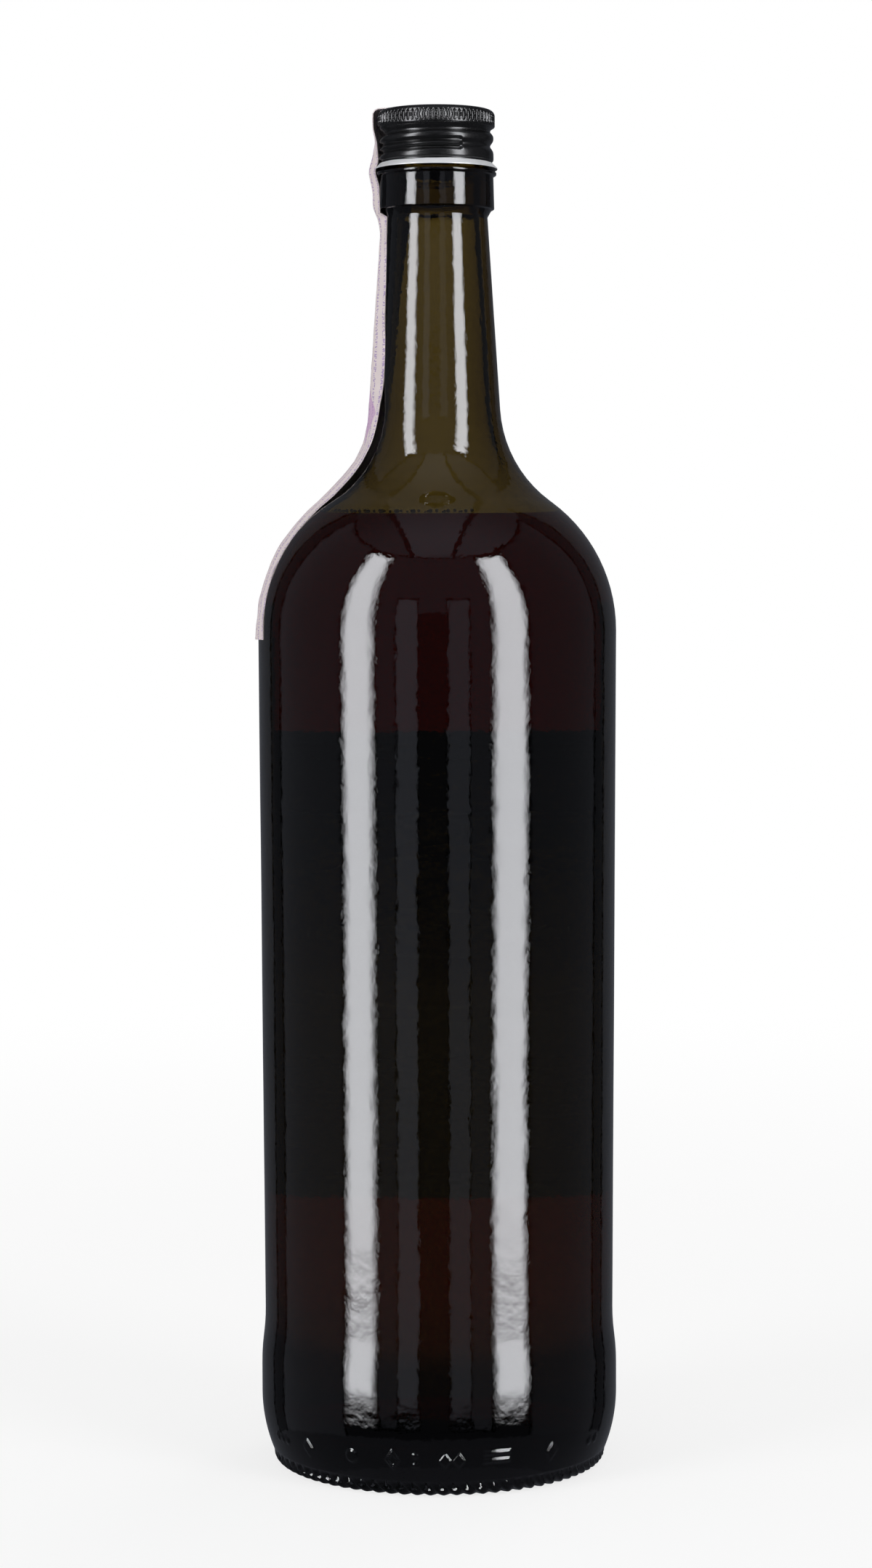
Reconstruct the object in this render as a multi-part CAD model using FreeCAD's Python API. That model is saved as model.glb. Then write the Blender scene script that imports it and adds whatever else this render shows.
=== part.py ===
import FreeCAD, Part
import math
import os

# A litre bottle of vermouth: a dark green glass bottle, the vermouth in it, a roll-on aluminium
# screw cap, a paper seal strip over the cap and down one side, and a paper label.
# Millimetres, Z up. The origin is the middle of the foot ring, on the surface it stands on.
# The label is centred on +Y and the seal strip runs down the -X side.

Vec = FreeCAD.Vector
ORIGIN = Vec(0, 0, 0)
UP = Vec(0, 0, 1)

# ---------------------------------------------------------------- driving dimensions

# glass, outside
body_radius = 42.65            # at the top of the label panel
panel_taper = 0.95             # how much narrower the panel's foot is
bead_in = 0.05                 # and the bead under it, which keeps the label off its neighbours
bead_top_z = 26.5              # where the bead begins to run in to the panel
bead_run_in = 7.0              # height of that run-in
bead_round = 50.0
heel_bend_z = 10.1             # where the heel starts to draw in
heel_round = 36.0
shoulder_z = 217.9             # where the panel's line meets the shoulder's
shoulder_rise = 19.8           # from there up to the neck's line
shoulder_round = 38.0
neck_root_radius = 15.95       # where the shoulder's line meets the neck's
root_round = 29.5
neck_length = 58.7             # from there up to the collar
neck_top_radius = 12.15

# foot and push-up
seam_z = 3.7                   # seam between the body mould and the base plate
seam_in = 2.4                  # how far in from the bead it lies
seam_step = 0.25
foot_in = 3.1                  # and the foot's corner, before it is rounded
foot_round = 2.0
foot_width = 5.2
punt_flat_radius = 16.0
punt_rise = 9.0
punt_round = 18.0
knurl_count = 78               # short slanted hollows that roughen the foot's edge
knurl_cutter_radius = 1.6
knurl_depth = 0.4
knurl_slant_deg = 24.0

# glass, inside
body_wall = 3.1
neck_wall = 3.0
base_thickness = 5.5
trough_z = 5.0                 # lowest part of the floor, round the push-up
trough_round = 8.0

# collar and finish
finish_radius = 12.2           # land under the cap
finish_height = 12.3           # from the collar's top to the mouth
lip_round = 1.0
collar_out = 1.55              # how far the collar stands out from the finish
collar_draft = 0.2             # how much narrower it is under its top bead
collar_height = 8.6
collar_bead_out = 0.5
collar_bead_height = 0.9
collar_under = 1.9             # height of the cove under it
collar_cove_out = 0.95
collar_round = 0.6
collar_edge_round = 0.25

# vermouth
fill_above_shoulder = 8.6      # level above the shoulder's corner
fill_clearance = 0.05

# screw cap: each of its radii is measured out from its bore
cap_fit = 0.25                 # between the finish and the cap's bore
cap_top = 2.2                  # lid and liner
cap_edge_round = 1.4
cap_ribs_out = 1.45            # ribbed band at the top
cap_ribs_height = 3.9
cap_bead_out = 1.15            # swells between the rolled grooves
cap_groove_out = 0.4
cap_waist_drop = 5.4           # from the cap's top down to the first groove
cap_groove_pitch = 3.175       # from one groove to the next
cap_flare_out = 2.2
cap_flare_height = 1.7
cap_flare_edge = 0.35
rib_count = 70
rib_half_height = 1.35
rib_half_width = 0.5

# label
label_width = 100.0
label_top_margin = 44.4        # below the shoulder's corner
label_foot_margin = 25.5       # above the panel's foot
label_corner = 3.0
label_paper = 0.2
label_glue = 0.02

# seal strip
strip_width = 13.5
strip_skew_deg = 6.0           # how far it leans from the bottle's axis
strip_end_drop = 20.9          # its lower end, below the shoulder's corner
strip_end_y = -5.1             # middle of its lower end
strip_top_reach = 6.0          # how near its upper end comes to the axis
strip_gap = 0.3                # between glass and strip where it lies close
strip_stand_off = 1.2          # where it stands off the cap and the collar
strip_bridge_round = 40.0      # across the hollow under the neck
strip_fold_round = 2.5
strip_paper = 0.25

# ---------------------------------------------------------------- places that follow

panel_foot_radius = body_radius - panel_taper
panel_foot_z = bead_top_z + bead_run_in
bead_radius = body_radius - bead_in
seam_radius = bead_radius - seam_in
foot_radius = bead_radius - foot_in
foot_inner_radius = foot_radius - foot_width
neck_root_z = shoulder_z + shoulder_rise
collar_z = neck_root_z + neck_length
collar_edge_z = collar_z + collar_under
collar_top_z = collar_edge_z + collar_height
collar_radius = finish_radius + collar_out
collar_bead_z = collar_top_z - collar_bead_height
collar_bead_radius = collar_radius + collar_bead_out
mouth_z = collar_top_z + finish_height
cap_bore = finish_radius + cap_fit
cap_top_z = mouth_z + cap_top
ribs_radius = cap_bore + cap_ribs_out
ribs_bottom_z = cap_top_z - cap_ribs_height
waist_z = cap_top_z - cap_waist_drop
flare_top_z = waist_z - 2.1 * cap_groove_pitch
flare_radius = cap_bore + cap_flare_out
cap_rim_z = flare_top_z - cap_flare_height
fill_z = shoulder_z + fill_above_shoulder
label_bottom_z = panel_foot_z + label_foot_margin
label_top_z = shoulder_z - label_top_margin
strip_end_z = shoulder_z - strip_end_drop


# ---------------------------------------------------------------- outlines

def point(r, z):
    """A point of an outline, which is drawn in the XZ plane."""
    return Vec(r, 0, z)


def direction(a, b):
    """Unit vector from corner a to corner b."""
    step = point(*b[:2]) - point(*a[:2])
    return step / step.Length


def turn_between(back, ahead):
    """Angle turned at a corner, positive to the left, which is towards the axis going up."""
    return math.atan2(back.x * ahead.z - back.z * ahead.x, back.dot(ahead))


def rounded(corners):
    """Edges through the corners (r, z, round). A round is limited by the sides beside it."""
    sides = [direction(a, b) for a, b in zip(corners, corners[1:])]
    turns = [turn_between(a, b) for a, b in zip(sides, sides[1:])]
    reach = [0.0] + [c[2] * math.tan(abs(t) / 2) for c, t in zip(corners[1:-1], turns)] + [0.0]
    for i, (a, b) in enumerate(zip(corners, corners[1:])):
        room = 0.98 * math.dist(a[:2], b[:2]) / max(reach[i] + reach[i + 1], 1e-9)
        if room < 1:
            reach[i] *= room
            reach[i + 1] *= room
    edges = []
    here = point(*corners[0][:2])
    for i, turn in enumerate(turns, start=1):
        apex = point(*corners[i][:2])
        back, ahead = sides[i - 1], sides[i]
        start = apex - back * reach[i]
        edges.append(Part.LineSegment(here, start).toShape())
        here = start
        if reach[i] > 1e-4:
            end = apex + ahead * reach[i]
            radius = reach[i] / math.tan(abs(turn) / 2)
            left = Vec(-back.z, 0, back.x) * math.copysign(1, turn)
            centre = start + left * radius
            out = apex - centre
            middle = centre + out * (radius / out.Length)
            edges.append(Part.Arc(start, middle, end).toShape())
            here = end
    edges.append(Part.LineSegment(here, point(*corners[-1][:2])).toShape())
    return edges


def offset(corners, outwards):
    """The corners moved to the right of their own direction, each side by its own distance."""
    moved = []
    for (a, b), out in zip(zip(corners, corners[1:]), outwards):
        along = direction(a, b)
        shift = Vec(along.z, 0, -along.x) * out
        moved.append((point(*a[:2]) + shift, point(*b[:2]) + shift, along))
    result = [(moved[0][0].x, moved[0][0].z, 0)]
    for i in range(1, len(moved)):
        (_, end, along), (start, _, ahead) = moved[i - 1], moved[i]
        cross = along.x * ahead.z - along.z * ahead.x
        if abs(cross) < 1e-6:
            place = end
        else:
            gap = start - end
            place = end + along * ((gap.x * ahead.z - gap.z * ahead.x) / cross)
        out = math.copysign((outwards[i - 1] + outwards[i]) / 2, cross * outwards[i])
        result.append((place.x, place.z, max(corners[i][2] + out, 0.1)))
    result.append((moved[-1][1].x, moved[-1][1].z, 0))
    return result


def radius_at(z, low, high):
    """Radius at height z on the straight line through two corners."""
    return low[0] + (high[0] - low[0]) * (z - low[1]) / (high[1] - low[1])


def turned(edges, degrees=360):
    """The solid that a closed run of edges makes when it is turned about the axis."""
    return Part.Face(Part.Wire(Part.__sortEdges__(edges))).revolve(ORIGIN, UP, degrees)


def closed(corners):
    """Edges of the outline that a run of corners closes with one straight side."""
    last, first = point(*corners[-1][:2]), point(*corners[0][:2])
    return rounded(corners) + [Part.LineSegment(last, first).toShape()]


# ---------------------------------------------------------------- glass

wall_line = [                                  # outside of panel, shoulder and neck
    (panel_foot_radius, panel_foot_z, bead_round),
    (body_radius, shoulder_z, shoulder_round),
    (neck_root_radius, neck_root_z, root_round),
    (neck_top_radius, collar_z, collar_round),
]
walls = [-body_wall, -body_wall, -neck_wall]
bore_line = offset(wall_line, walls)           # the same wall's inside
bore_foot_radius, bore_radius = bore_line[0][0], bore_line[-1][0]
bore_foot = [(bore_foot_radius, trough_z, trough_round), (bore_foot_radius, panel_foot_z, bead_round)]
bore_line = bore_foot + bore_line[1:]


def bottle():
    outside = [
        (0, punt_rise, 0),
        (punt_flat_radius, punt_rise, punt_round),
        (foot_inner_radius, 0, 1.0),
        (foot_radius, 0, foot_round),
        (seam_radius - seam_step, seam_z - seam_step, 0),
        (seam_radius, seam_z, 0),
        (bead_radius, heel_bend_z, heel_round),
        (bead_radius, bead_top_z, bead_round),
        *wall_line,
        (neck_top_radius + collar_cove_out, collar_edge_z - collar_edge_round, collar_edge_round),
        (collar_radius, collar_edge_z, collar_edge_round),
        (collar_radius - collar_draft, collar_bead_z, collar_edge_round),
        (collar_bead_radius, collar_bead_z + collar_edge_round, collar_edge_round),
        (collar_bead_radius, collar_top_z, collar_edge_round),
        (finish_radius, collar_top_z + collar_edge_round, 0.4),
        (finish_radius, mouth_z, lip_round),
        (bore_radius, mouth_z, lip_round),
    ]
    inside = [
        *reversed(bore_line),
        (punt_flat_radius, punt_rise + base_thickness, punt_round),
        (0, punt_rise + base_thickness, 0),
    ]
    glass = turned(closed(outside + inside))
    return glass.cut(foot_knurls())


def foot_knurls():
    """Short round hollows across the foot's rounded edge, all leaning the same way."""
    out = Vec(1, 0, -1).normalize()
    length = 1.6 * seam_z
    cutter = Part.makeCylinder(knurl_cutter_radius, length, UP * (-length / 2), UP)
    cutter.rotate(ORIGIN, Vec(0, 1, 0), 45)
    cutter.rotate(ORIGIN, out, knurl_slant_deg)
    edge = Vec(foot_radius - foot_round * (1 - out.x), 0, foot_round * (1 + out.z))
    cutter.translate(edge + out * (knurl_cutter_radius - knurl_depth))
    return all_round(cutter, knurl_count)


def all_round(shape, count):
    """Copies of a shape, evenly spaced about the axis."""
    copies = []
    for i in range(count):
        one = shape.copy()
        one.rotate(ORIGIN, UP, 360 * i / count)
        copies.append(one)
    return copies


# ---------------------------------------------------------------- vermouth

def vermouth():
    corners = [
        (0, punt_rise + base_thickness, 0),
        (punt_flat_radius, punt_rise + base_thickness, punt_round),
        *bore_line,
    ]
    skin = offset(corners, [-fill_clearance] * (len(corners) - 1))
    skin[0] = (0, skin[0][1], 0)
    full = turned(closed(skin + [(0, skin[-1][1], 0)]))
    above = Part.makeCylinder(2 * body_radius, mouth_z, Vec(0, 0, fill_z))
    return full.cut(above)


# ---------------------------------------------------------------- screw cap

def groove(z):
    """One rolled groove, with the swell below it."""
    bead = cap_bore + cap_bead_out
    half = cap_groove_pitch / 2
    return [
        (cap_bore + cap_groove_out, z + 0.15 * half, 0.5),
        (cap_bore + cap_groove_out, z - 0.15 * half, 0.5),
        (bead, z - 0.75 * half, 0.6),
        (bead, z - 1.25 * half, 0.6),
    ]


def screw_cap():
    outside = [
        (0, cap_top_z, 0),
        (ribs_radius, cap_top_z, cap_edge_round),
        (ribs_radius, ribs_bottom_z, 0.4),
        *groove(waist_z),
        *groove(waist_z - cap_groove_pitch),
        (cap_bore + cap_groove_out + 0.25, flare_top_z + 0.2, 0.3),
        (flare_radius, cap_rim_z + 0.1, 0.1),
        (flare_radius - 0.1, cap_rim_z, 0),
    ]
    inside = [
        (flare_radius - cap_flare_edge - 0.1, cap_rim_z, 0),
        (cap_bore, flare_top_z + 0.3, 0.5),
        (cap_bore, mouth_z, 0.2),
        (0, mouth_z, 0),
    ]
    cap = turned(closed(outside + inside))
    return cap.cut(rib_dents())


def rib_dents():
    """Upright pointed hollows round the cap's top band."""
    middle_z = (cap_top_z - cap_edge_round / 2 + ribs_bottom_z) / 2
    tip_low, tip_high = Vec(0, 0, -rib_half_height), Vec(0, 0, rib_half_height)
    bow = Part.Arc(tip_low, Vec(rib_half_width, 0, 0), tip_high).toShape()
    chord = Part.LineSegment(tip_high, tip_low).toShape()
    spindle = turned([bow, chord])
    spindle.translate(Vec(ribs_radius, 0, middle_z))
    return all_round(spindle, rib_count)


# ---------------------------------------------------------------- paper

def label():
    """A curved sheet on the panel, centred on +Y, with rounded corners."""
    heights = (label_bottom_z, label_top_z)
    inner = [(radius_at(z, *wall_line[:2]) + label_glue, z, 0) for z in heights]
    outer = [(r + label_paper, z, 0) for r, z, _ in reversed(inner)]
    ring = turned(closed(inner + outer))
    half = math.degrees(label_width / 2 / body_radius)
    wedge = Part.makeCylinder(2 * body_radius, mouth_z, ORIGIN, UP, 2 * half)
    wedge.rotate(ORIGIN, UP, 90 - half)
    sheet = ring.common(wedge)
    corners = [e for e in sheet.Edges if is_label_corner(e)]
    return sheet.makeFillet(label_corner, corners)


def is_label_corner(edge):
    """True for the four short edges through the paper at the label's corners."""
    ends = [v.Point for v in edge.Vertexes]
    if len(ends) != 2:
        return False
    step = ends[1] - ends[0]
    return abs(step.z) < label_paper and step.Length < 2 * label_paper


def seal_strip():
    """A paper band that follows the bottle's side from the shoulder up and over the cap."""
    foot, shoulder, root, top = offset(wall_line, [strip_gap] * 3)
    leave_z = collar_z - 4 * collar_under      # where it leaves the neck for the collar
    inner = [
        (radius_at(strip_end_z, foot, shoulder), strip_end_z, 0),
        shoulder,
        (root[0], root[1], strip_bridge_round),
        (radius_at(leave_z, root, top), leave_z, 6.0),
        (collar_radius + strip_stand_off, collar_edge_z, 5.0),
        (flare_radius + strip_stand_off, cap_rim_z, 4.0),
        (ribs_radius + strip_stand_off, cap_top_z + strip_gap, strip_fold_round),
        (strip_top_reach, cap_top_z + strip_gap, 0),
    ]
    outer = offset(inner, [strip_paper] * (len(inner) - 1))
    ends = [Part.LineSegment(point(*inner[i][:2]), point(*outer[i][:2])).toShape() for i in (0, -1)]
    band = turned(rounded(inner) + rounded(outer) + ends, 180)
    band.rotate(ORIGIN, UP, 90)
    slab = Part.makeBox(2 * body_radius, strip_width, 2 * mouth_z)
    slab.translate(Vec(-2 * body_radius, strip_end_y - strip_width / 2, strip_end_z - mouth_z))
    slab.rotate(Vec(0, strip_end_y, strip_end_z), Vec(1, 0, 0), -strip_skew_deg)
    return band.common(slab)


# ---------------------------------------------------------------- files

os.makedirs("parts", exist_ok=True)
makers = {
    "bottle": bottle,
    "vermouth": vermouth,
    "screw_cap": screw_cap,
    "seal_strip": seal_strip,
    "label": label,
}
for node, make in makers.items():
    shape = make()
    solid = shape.Solids[0]
    print(node, len(shape.Solids), "solid, valid", solid.isValid(), round(solid.Volume), "mm3")
    solid.exportStep(f"parts/{node}.step")
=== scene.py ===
# %% [markdown]
# # A bottle of vermouth
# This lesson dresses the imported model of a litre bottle: dark green glass, red vermouth, a
# black screw cap, a paper seal strip over it and a paper label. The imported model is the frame.
# It says where everything is, in metres, with Z up, so nothing here has to be fitted.

# %% Load the frame
import math

import bmesh
import bpy
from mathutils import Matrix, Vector, noise


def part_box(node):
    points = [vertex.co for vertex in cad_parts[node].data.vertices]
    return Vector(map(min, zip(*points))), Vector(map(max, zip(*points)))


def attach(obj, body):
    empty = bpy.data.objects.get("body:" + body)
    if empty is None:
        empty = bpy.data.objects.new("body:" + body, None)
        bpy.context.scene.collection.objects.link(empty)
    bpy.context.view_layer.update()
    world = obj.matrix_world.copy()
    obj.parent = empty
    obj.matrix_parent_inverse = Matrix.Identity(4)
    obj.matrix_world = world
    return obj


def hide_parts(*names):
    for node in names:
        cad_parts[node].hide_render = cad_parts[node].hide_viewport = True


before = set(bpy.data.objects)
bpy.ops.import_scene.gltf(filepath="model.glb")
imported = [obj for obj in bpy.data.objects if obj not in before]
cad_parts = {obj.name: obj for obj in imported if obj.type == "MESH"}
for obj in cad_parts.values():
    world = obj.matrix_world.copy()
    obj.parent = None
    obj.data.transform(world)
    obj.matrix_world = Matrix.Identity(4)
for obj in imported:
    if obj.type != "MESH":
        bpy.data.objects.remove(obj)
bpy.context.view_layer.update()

# %% [markdown]
# ## Small tools
# Every tool of Blender works on what is selected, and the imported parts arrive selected. So each
# piece starts with nothing selected, and only its own faces or edges are picked, by their place.
# Sizes are easier to read in millimetres, so they are written as a number times MM.

# %% Pick things by their place
MM = 0.001


def begin():
    """Leaves nothing selected, so that the next tool touches only the new piece."""
    bpy.ops.object.select_all(action="DESELECT")


def open_mesh(piece):
    """Opens a piece in edit mode with nothing picked."""
    begin()
    piece.select_set(True)
    bpy.context.view_layer.objects.active = piece
    bpy.ops.object.mode_set(mode="EDIT")
    bpy.ops.mesh.select_all(action="DESELECT")


def close_mesh():
    """Leaves edit mode."""
    bpy.ops.object.mode_set(mode="OBJECT")


def pick_faces(piece, wanted):
    """Picks the faces whose middle the test wants, and says how many."""
    mesh = bmesh.from_edit_mesh(piece.data)
    bpy.context.tool_settings.mesh_select_mode = (False, False, True)
    found = 0
    for face in mesh.faces:
        face.select = wanted(face.calc_center_median())
        found += face.select
    mesh.select_flush_mode()
    bmesh.update_edit_mesh(piece.data)
    return found


def pick_long_edges(piece, length, wanted):
    """Picks the edges that the test wants and that are longer than a length."""
    mesh = bmesh.from_edit_mesh(piece.data)
    bpy.context.tool_settings.mesh_select_mode = (False, True, False)
    found = 0
    for edge in mesh.edges:
        middle = (edge.verts[0].co + edge.verts[1].co) / 2
        edge.select = edge.calc_length() > length and wanted(middle)
        found += edge.select
    mesh.select_flush_mode()
    bmesh.update_edit_mesh(piece.data)
    return found


def shape(piece, moved):
    """Moves every vertex of a piece to where a function of its place says."""
    for vertex in piece.data.vertices:
        vertex.co = moved(vertex.co.copy())


def smooth(piece, degrees=35):
    """Smooth faces, with an edge kept sharp where it turns by more than that."""
    begin()
    piece.select_set(True)
    bpy.context.view_layer.objects.active = piece
    bpy.ops.object.shade_smooth_by_angle(angle=math.radians(degrees))


def faces_of(piece):
    """Says how many triangles a piece has."""
    piece.data.calc_loop_triangles()
    return f"{piece.name}: {len(piece.data.loop_triangles)} triangles"


# %% [markdown]
# ## Turned pieces
# Glass, drink and cap are all round, so each is an outline turned about the bottle's axis. The
# outline is drawn as a lathe hand would draw it: a single point is extruded along each straight,
# and spun about the arc's centre wherever a corner is rounded. Bevelling the corners afterwards
# would be quicker, but it gives a true arc only on square corners.

# %% Draw an outline
def ahead_of(a, b):
    """The direction from one corner of an outline to the next."""
    return (Vector((b[0], 0, b[1])) - Vector((a[0], 0, a[1]))).normalized()


def turn_at(back, ahead):
    """Angle turned at a corner, positive towards the axis when the outline goes up."""
    return math.atan2(back.x * ahead.z - back.z * ahead.x, back.dot(ahead))


def draw(name, corners):
    """A wire in the XZ plane through corners of (radius, height, round, steps), in millimetres."""
    begin()
    bpy.context.tool_settings.mesh_select_mode = (True, False, False)
    bpy.ops.mesh.primitive_plane_add(size=MM)
    wire = bpy.context.object
    wire.name = wire.data.name = name
    bpy.ops.object.mode_set(mode="EDIT")
    bpy.ops.mesh.merge(type="CENTER")
    here = Vector((0, 0, 0))

    def line_to(place):
        nonlocal here
        if (place - here).length > 1e-7:
            bpy.ops.mesh.extrude_region_move(TRANSFORM_OT_translate={"value": place - here})
        here = place

    first = Vector((corners[0][0], 0, corners[0][1])) * MM
    bpy.ops.transform.translate(value=first)
    here = first
    sides = [ahead_of(a, b) for a, b in zip(corners, corners[1:])]
    turns = [turn_at(a, b) for a, b in zip(sides, sides[1:])]
    reach = [0.0] + [c[2] * math.tan(abs(t) / 2) for c, t in zip(corners[1:-1], turns)] + [0.0]
    for i, (a, b) in enumerate(zip(corners, corners[1:])):
        room = 0.98 * math.dist(a[:2], b[:2]) / max(reach[i] + reach[i + 1], 1e-9)
        if room < 1:
            reach[i] *= room
            reach[i + 1] *= room
    for i, turn in enumerate(turns, start=1):
        apex = Vector((corners[i][0], 0, corners[i][1])) * MM
        back, ahead = sides[i - 1], sides[i]
        line_to(apex - back * reach[i] * MM)
        if reach[i] > 1e-4:
            radius = reach[i] / math.tan(abs(turn) / 2) * MM
            side = math.copysign(1, turn)
            centre = here + Vector((-back.z, 0, back.x)) * side * radius
            bpy.ops.mesh.spin(
                steps=corners[i][3], angle=abs(turn), center=centre, axis=(0, side, 0)
            )
            here = apex + ahead * reach[i] * MM
    line_to(Vector((corners[-1][0], 0, corners[-1][1])) * MM)
    bpy.ops.object.mode_set(mode="OBJECT")
    off = min((v.co - here).length for v in wire.data.vertices) / MM
    print(name, "drawn with", len(wire.data.vertices), "points, its end", round(off, 4), "mm off")
    return wire


# %% [markdown]
# The turn itself is Blender's Spin. It leaves its first and last outline on top of each other,
# and a heap of points on the axis, so the doubles are merged before the faces are told which way
# is out. A straight is cut up first where a later step bends the turned piece.

# %% Turn it about the axis
def cut_up(wire, longest, wanted=lambda middle: True):
    """Halves the wire's edges until those that the test wants are shorter than a length."""
    open_mesh(wire)
    while pick_long_edges(wire, longest * MM, wanted):
        bpy.ops.mesh.subdivide(number_cuts=1)
    close_mesh()


def turn(wire, segments):
    """Turns a wire about the axis into a closed skin."""
    open_mesh(wire)
    bpy.ops.mesh.select_all(action="SELECT")
    bpy.ops.mesh.spin(steps=segments, angle=math.tau, center=(0, 0, 0), axis=(0, 0, 1))
    bpy.ops.mesh.select_all(action="SELECT")
    bpy.ops.mesh.remove_doubles(threshold=1e-6)
    bpy.ops.mesh.normals_make_consistent(inside=False)
    close_mesh()
    print(faces_of(wire))
    return wire


# %% [markdown]
# ## The glass
# A bottle is blown in a mould, so its outside is crisp and its inside only follows, one wall
# further in. The outside is drawn first, from the middle of the hollow under the base, out over
# the foot and up to the mouth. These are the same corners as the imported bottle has.

# %% The outside of the glass
body_r, panel_r, foot_r = 42.65, 41.7, 39.5
root_r, neck_r, collar_r, finish_r = 15.95, 12.15, 13.75, 12.2
seam_z, heel_z, bead_z, panel_z, shoulder_z, root_z, collar_z = 3.7, 10.1, 26.5, 33.5, 217.9, 237.7, 296.4
mouth_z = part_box("bottle")[1][2] / MM
push_up_r, push_up = 16, 9

outside = [
    (0, push_up, 0, 1), (push_up_r, push_up, 18, 4),
    (34.3, 0, 1, 3), (foot_r, 0, 2, 8),
    (foot_r + 0.45, seam_z - 0.25, 0, 1), (foot_r + 0.7, seam_z, 0, 1),
    (body_r - 0.05, heel_z, 36, 16), (body_r - 0.05, bead_z, 50, 3),
    (panel_r, panel_z, 50, 3), (body_r, shoulder_z, 38, 14),
    (root_r, root_z, 29.5, 10), (neck_r, collar_z, 0.6, 3),
    (neck_r + 0.95, 298.05, 0.25, 2), (collar_r, 298.3, 0.25, 3), (collar_r - 0.2, 306.0, 0.25, 2),
    (collar_r + 0.5, 306.25, 0.25, 2), (collar_r + 0.5, 306.9, 0.25, 3),
    (finish_r, 307.15, 0.4, 2), (finish_r, mouth_z, 1, 4),
]
print("the mouth is at", round(mouth_z, 2), "mm, the mean slope of the neck",
      round((root_r - neck_r) / (collar_z - root_z), 3))

# %% [markdown]
# The inside is the outside's own line, moved in by the wall: 3.1 mm in the body, 2.7 mm up the
# shoulder and 3.0 mm in the neck, with a little more at the neck's root, where blown glass
# gathers. Each straight is moved sideways and the new corners are where they cross. Solidify
# would do this for a sheet, but a bottle's base is thicker than its wall, with a trough round
# the push-up, and its mouth is a bore.

# %% The inside of the glass
def moved_in(corners, walls):
    """Corners of the line whose straights lie a wall's thickness further in."""
    lines = []
    for (a, b), wall in zip(zip(corners, corners[1:]), walls):
        along = ahead_of(a, b)
        side = Vector((-along.z, 0, along.x)) * wall
        lines.append((Vector((a[0], 0, a[1])) + side, Vector((b[0], 0, b[1])) + side, along))
    result = [(lines[0][0].x, corners[0][1], 50, 2)]
    for i in range(1, len(lines)):
        (_, end, along), (start, _, ahead) = lines[i - 1], lines[i]
        gap, cross = start - end, along.x * ahead.z - along.z * ahead.x
        place = end + along * ((gap.x * ahead.z - gap.z * ahead.x) / cross)
        rounder = math.copysign((walls[i - 1] + walls[i]) / 2, -cross)
        result.append((place.x, place.z, corners[i][2] + rounder, max(corners[i][3] - 3, 2)))
    return result + [(lines[-1][1].x, lines[-1][1].z, 0, 1)]


trough_z, floor_z = 5, push_up + 5.5


def floor_of(wall_r, lift=0.0):
    """The inside's floor, from the wall in to the axis."""
    return [
        (wall_r, trough_z + lift, 8, 7), (push_up_r, floor_z + lift, 18, 4), (0, floor_z + lift, 0, 1)
    ]


body_wall, shoulder_wall, neck_wall, gathered = 3.1, 2.7, 3.0, 0.3
bore = moved_in(outside[8:12], [body_wall, shoulder_wall, neck_wall])
bore[2] = (bore[2][0] - gathered, *bore[2][1:])
bore_r = bore[-1][0]
inside = [(bore_r, mouth_z, 1, 4)] + bore[::-1] + floor_of(bore[0][0])
print("the neck's bore is", round(2 * bore_r, 2), "mm wide")

# %% [markdown]
# One closed skin, outside and inside together, is what makes glass look like glass: light bends
# on its way in, travels through the wall's real thickness, and bends again on its way out.

# %% Turn the glass
foot_teeth, segments, longest_row = 78, 390, 14
outline = draw("glass_bottle", outside + inside)
cut_up(outline, longest_row)
glass = turn(outline, segments)

# %% [markdown]
# Blown glass is never quite straight. The mould's wall is polished by hand and the glass chills
# unevenly, so a highlight on it wavers at its edges. A low, slow noise moves the glass in and
# out by a few hundredths of a millimetre, and leaves the foot and the finish where they are. The
# finer ripple of the skin is left to the finish.

# %% Let the skin waver
def waver(co):
    """Moves a point of the wall in or out, but none of the foot, the bore or the finish."""
    r, z = math.hypot(co.x, co.y), co.z / MM
    if not (0 < z < collar_z and r / MM > neck_r - 1):
        return co
    out = Vector((co.x / r, co.y / r, 0))
    slow = noise.noise(Vector((co.x * 60, co.y * 60, co.z * 24)))
    fast = noise.noise(Vector((co.x * 150, co.y * 150, co.z * 95 + 7)))
    size = 0.045 if r > 0.03 else 0.03
    above_foot = min(max((z - 14) / 12, 0), 1)
    below_collar = min(max((collar_z - 6 - z) / 12, 0), 1)
    return co + out * MM * above_foot * below_collar * (size * slow + 0.35 * size * fast)


shape(glass, waver)
print("the widest point is now", round(max(v.co.xy.length for v in glass.data.vertices) / MM, 3), "mm")

# %% [markdown]
# The foot stands on a ring of slanted teeth, which the base plate gives it so that the hot bottle
# doesn't stick to the belt. The ring's faces are cut finer, and each point is pushed in by how
# near it lies to the groove between its tooth and the next.

# %% Cut the teeth of the foot
teeth_r, teeth_z, teeth_fade, tooth_depth, tooth_slant = 37.3, seam_z - 0.3, 0.9, 0.9, 0.33


def on_outer_foot(middle):
    r, z = math.hypot(middle.x, middle.y) / MM, middle.z / MM
    return r > teeth_r and z < teeth_z


def toothed(co):
    """Pushes a point of the foot in, the more the nearer it is to a groove between two teeth."""
    r, z = math.hypot(co.x, co.y) / MM, co.z / MM
    if r < teeth_r or z > teeth_z:
        return co
    teeth = math.atan2(co.y, co.x) / math.tau * foot_teeth + tooth_slant * (z - 1)
    deep = abs(2 * (teeth - math.floor(teeth)) - 1) ** 1.8
    inside_ring = min((r - teeth_r) / teeth_fade, 1) * min((teeth_z - z) / teeth_fade, 1)
    out = Vector((co.x / r, co.y / r, -MM)).normalized()
    return co - out * (tooth_depth * MM * deep * inside_ring)


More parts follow.
